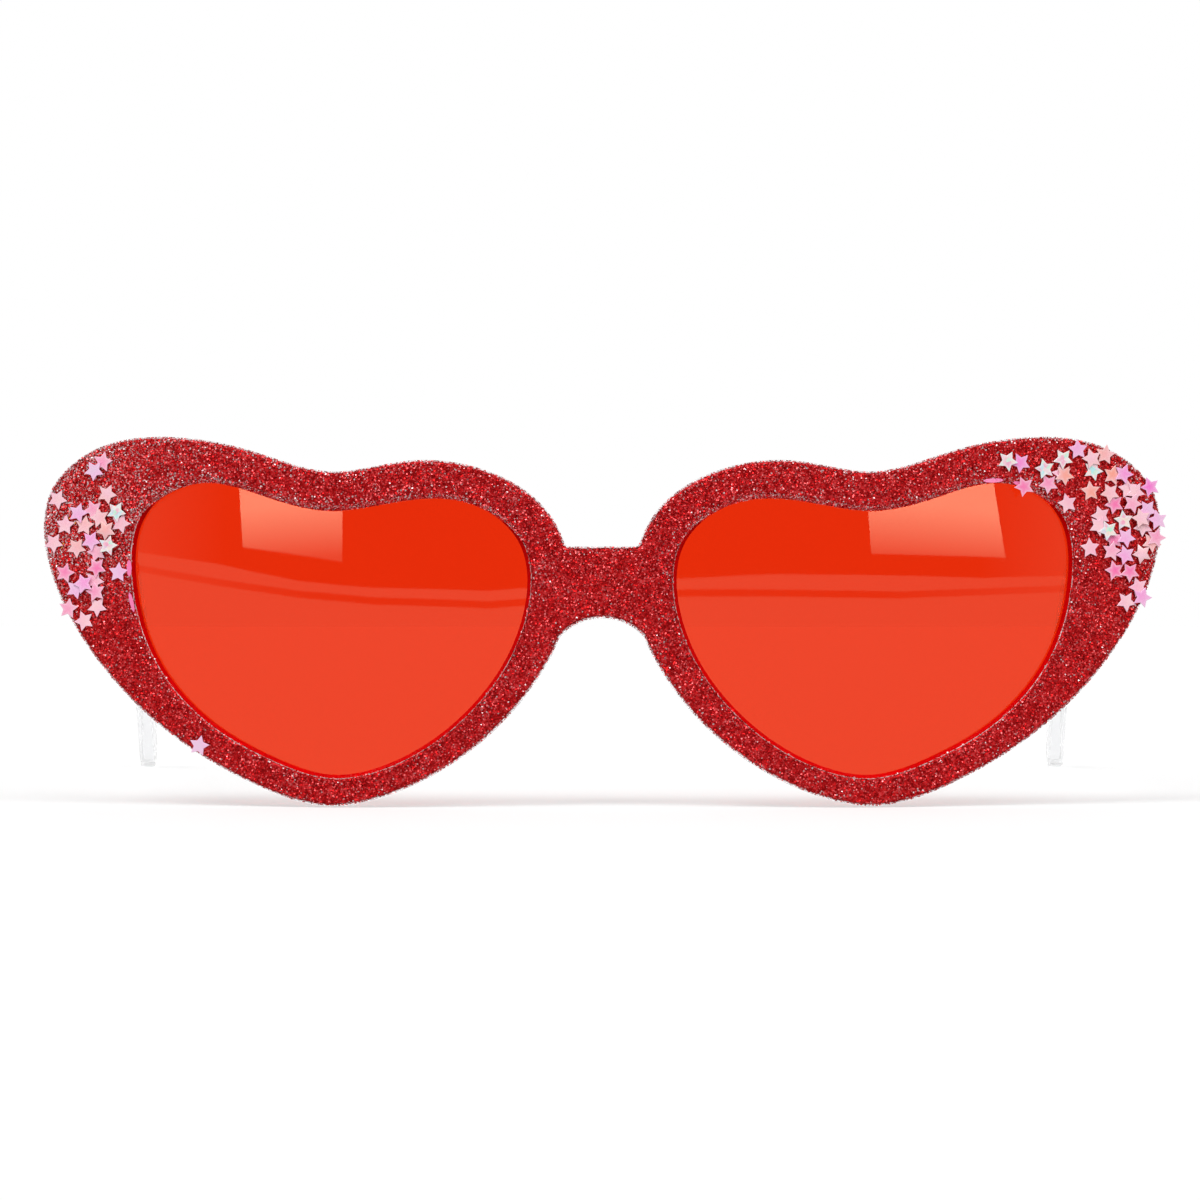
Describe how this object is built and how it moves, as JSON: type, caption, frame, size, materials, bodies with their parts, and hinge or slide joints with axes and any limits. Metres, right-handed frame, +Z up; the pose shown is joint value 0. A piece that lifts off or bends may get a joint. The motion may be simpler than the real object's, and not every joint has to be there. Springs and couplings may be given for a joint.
{
  "type": "heart shaped sunglasses",
  "caption": "Heart shaped party sunglasses with a glitter front, star sequins, tinted lenses and clear folding temples.",
  "frame": {"origin": "on the table, under the middle of the box that holds the opened glasses", "axes": "+Z up, -Y the way the wearer looks, +X the wearer's left"},
  "size_m": [0.1534, 0.1508, 0.0498],
  "materials": {
    "clear_plastic": "clear injection moulded polystyrene, polished",
    "red_glitter": "fine red polyester glitter set in clear lacquer",
    "lens_tint": "orange red tinted transparent sheet, glossy",
    "pin_steel": "bright drawn wire",
    "sequin_pink": "pearl film",
    "sequin_lilac": "pearl film",
    "sequin_peach": "pearl film",
    "sequin_hologram": "iridescent film"
  },
  "bodies": {
    "front": {"front_frame": "clear_plastic", "glitter_coat": "red_glitter", "lens_left": "lens_tint", "lens_right": "lens_tint", "hinge_pin_left": "pin_steel", "hinge_pin_right": "pin_steel", "star_sequins_pink_left": "sequin_pink", "star_sequins_lilac_left": "sequin_lilac", "star_sequins_peach_left": "sequin_peach", "star_sequins_hologram_left": "sequin_hologram", "star_sequins_pink_right": "sequin_pink", "star_sequins_lilac_right": "sequin_lilac", "star_sequins_peach_right": "sequin_peach", "star_sequins_hologram_right": "sequin_hologram"},
    "left_arm": {"temple_left": "clear_plastic"},
    "right_arm": {"temple_right": "clear_plastic"}
  },
  "joints": [
    {"name": "fold_left", "type": "hinge", "parent": "front", "child": "left_arm", "pos_m": [0.067, -0.05752, 0.03331], "axis": [0, 0.0405, 0.9992], "range_deg": [0, 92]},
    {"name": "fold_right", "type": "hinge", "parent": "front", "child": "right_arm", "pos_m": [-0.067, -0.05752, 0.03331], "axis": [0, -0.0405, -0.9992], "range_deg": [0, 84]}
  ]
}
